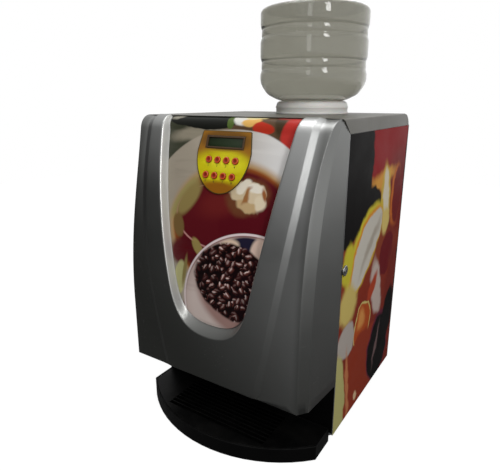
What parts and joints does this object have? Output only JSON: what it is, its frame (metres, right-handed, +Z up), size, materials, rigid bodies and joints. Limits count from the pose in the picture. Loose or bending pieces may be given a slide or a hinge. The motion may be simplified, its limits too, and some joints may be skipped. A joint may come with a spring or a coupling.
{
  "type": "hot coffee vending machine",
  "caption": "Counter-top hot drink dispenser with a hinged curved front door, push buttons, powder lanes, boiler, drip tray and an inverted water bottle on top",
  "frame": {"origin": "on the surface the machine stands on, at the middle of its width and depth", "axes": "+Z up, +X to the right of someone facing the door, +Y from the door towards the back"},
  "size_m": [0.4084, 0.4746, 0.7851],
  "materials": {
    "door": "satin metallic silver moulding",
    "artwork": null,
    "control_panel": "printed yellow overlay",
    "display": "dark green liquid crystal window in a dark frame",
    "circuit_board": "solder-resist green",
    "hinge": "brushed steel",
    "lock": "plated",
    "zinc_plate": "zinc-plated sheet",
    "side_panel": "printed satin laminate on sheet steel",
    "top_cover": "satin grey moulding",
    "tray": "black satin moulding",
    "bottle": "clear moulded plastic",
    "collar": "translucent white moulding",
    "boiler": "brushed stainless steel",
    "hose": "translucent silicone",
    "inlet": "black moulding",
    "button": "red-orange moulding",
    "foot": "black rubber",
    "canister": "white moulding",
    "auger": "white moulding",
    "motor": "plated steel can",
    "mixing_bowl": "translucent moulding",
    "valve": "brass body, dark coil"
  },
  "bodies": {
    "cabinet": {"hinge_cabinet_leaf": "hinge", "hinge_pin": "hinge", "lock_barrel": "lock", "left_side_panel": "side_panel", "right_side_panel": "side_panel", "rear_panel": "zinc_plate", "base_plate": "zinc_plate", "inner_bulkhead": "zinc_plate", "canister_shelf": "zinc_plate", "cup_bay_panel": "tray", "top_cover": "top_cover", "bottle_collar": "collar", "water_reservoir": "collar", "boiler_tank": "boiler", "boiler_lid": "boiler", "inlet_hose": "hose", "mains_inlet": "inlet", "power_supply": "zinc_plate", "foot_front_left": "foot", "foot_front_right": "foot", "foot_rear_left": "foot", "foot_rear_right": "foot", "canister_left": "canister", "auger_motor_left": "motor", "mixing_bowl_left": "mixing_bowl", "whipper_motor_left": "motor", "valve_left": "valve", "hose_left": "hose", "canister_right": "canister", "auger_motor_right": "motor", "mixing_bowl_right": "mixing_bowl", "whipper_motor_right": "motor", "valve_right": "valve", "hose_right": "hose"},
    "door": {"door_shell": "door", "artwork_panel": "artwork", "control_panel": "control_panel", "display_module": "display", "control_board": "circuit_board", "hinge_door_leaf": "hinge"},
    "lock": {"lock_plug": "lock", "lock_cam": "zinc_plate"},
    "tray": {"drip_tray": "tray"},
    "grille": {"drip_grille": "tray"},
    "bottle": {"water_bottle": "bottle"},
    "rocker": {"power_switch": "button"},
    "button_1": {"button_1": "button"},
    "button_2": {"button_2": "button"},
    "button_3": {"button_3": "button"},
    "button_4": {"button_4": "button"},
    "button_5": {"button_5": "button"},
    "button_6": {"button_6": "button"},
    "button_7": {"button_7": "button"},
    "button_8": {"button_8": "button"},
    "lid_left": {"canister_lid_left": "canister"},
    "auger_left": {"auger_left": "auger"},
    "whipper_left": {"whipper_left": "auger"},
    "lid_right": {"canister_lid_right": "canister"},
    "auger_right": {"auger_right": "auger"},
    "whipper_right": {"whipper_right": "auger"}
  },
  "joints": [
    {"name": "door_hinge", "type": "hinge", "parent": "cabinet", "child": "door", "pos_m": [-0.2, -0.09825, 0.34], "axis": [0, 0, -1], "range_deg": [0, 110]},
    {"name": "button_1_press", "type": "slide", "parent": "door", "child": "button_1", "axis": [0, 0.9561, -0.2932], "range_m": [0, 0.0015], "stiffness_N_per_m": 400, "springref_m": -0.0005},
    {"name": "button_2_press", "type": "slide", "parent": "door", "child": "button_2", "axis": [0, 0.9561, -0.2932], "range_m": [0, 0.0015], "stiffness_N_per_m": 400, "springref_m": -0.0005},
    {"name": "button_3_press", "type": "slide", "parent": "door", "child": "button_3", "axis": [0, 0.9561, -0.2932], "range_m": [0, 0.0015], "stiffness_N_per_m": 400, "springref_m": -0.0005},
    {"name": "button_4_press", "type": "slide", "parent": "door", "child": "button_4", "axis": [0, 0.9561, -0.2932], "range_m": [0, 0.0015], "stiffness_N_per_m": 400, "springref_m": -0.0005},
    {"name": "button_5_press", "type": "slide", "parent": "door", "child": "button_5", "axis": [0, 0.9641, -0.2656], "range_m": [0, 0.0015], "stiffness_N_per_m": 400, "springref_m": -0.0005},
    {"name": "button_6_press", "type": "slide", "parent": "door", "child": "button_6", "axis": [0, 0.9641, -0.2656], "range_m": [0, 0.0015], "stiffness_N_per_m": 400, "springref_m": -0.0005},
    {"name": "button_7_press", "type": "slide", "parent": "door", "child": "button_7", "axis": [0, 0.9641, -0.2656], "range_m": [0, 0.0015], "stiffness_N_per_m": 400, "springref_m": -0.0005},
    {"name": "button_8_press", "type": "slide", "parent": "door", "child": "button_8", "axis": [0, 0.9641, -0.2656], "range_m": [0, 0.0015], "stiffness_N_per_m": 400, "springref_m": -0.0005},
    {"name": "lock_turn", "type": "hinge", "parent": "cabinet", "child": "lock", "pos_m": [0.2, -0.08925, 0.341], "axis": [1, 0, 0], "range_deg": [0, 90]},
    {"name": "tray_slide", "type": "slide", "parent": "cabinet", "child": "tray", "axis": [0, -1, 0], "range_m": [0, 0.06]},
    {"name": "grille_lift", "type": "slide", "parent": "tray", "child": "grille", "axis": [0, 0, 1], "range_m": [0, 0.05]},
    {"name": "bottle_lift", "type": "slide", "parent": "cabinet", "child": "bottle", "axis": [0, 0, 1], "range_m": [0, 0.12]},
    {"name": "lid_lift_left", "type": "slide", "parent": "cabinet", "child": "lid_left", "axis": [0, 0, 1], "range_m": [0, 0.03]},
    {"name": "auger_turn_left", "type": "hinge", "parent": "cabinet", "child": "auger_left", "pos_m": [-0.085, 0.04125, 0.3373], "axis": [0, -1, 0], "continuous": true},
    {"name": "whipper_turn_left", "type": "hinge", "parent": "cabinet", "child": "whipper_left", "pos_m": [-0.085, 0.04125, 0.215], "axis": [0, -1, 0], "continuous": true},
    {"name": "lid_lift_right", "type": "slide", "parent": "cabinet", "child": "lid_right", "axis": [0, 0, 1], "range_m": [0, 0.03]},
    {"name": "auger_turn_right", "type": "hinge", "parent": "cabinet", "child": "auger_right", "pos_m": [0.085, 0.04125, 0.3373], "axis": [0, -1, 0], "continuous": true},
    {"name": "whipper_turn_right", "type": "hinge", "parent": "cabinet", "child": "whipper_right", "pos_m": [0.085, 0.04125, 0.215], "axis": [0, -1, 0], "continuous": true},
    {"name": "power_rocker", "type": "hinge", "parent": "cabinet", "child": "rocker", "pos_m": [0.10575, 0.23055, 0.06], "axis": [1, 0, 0], "range_deg": [-8, 8]}
  ]
}
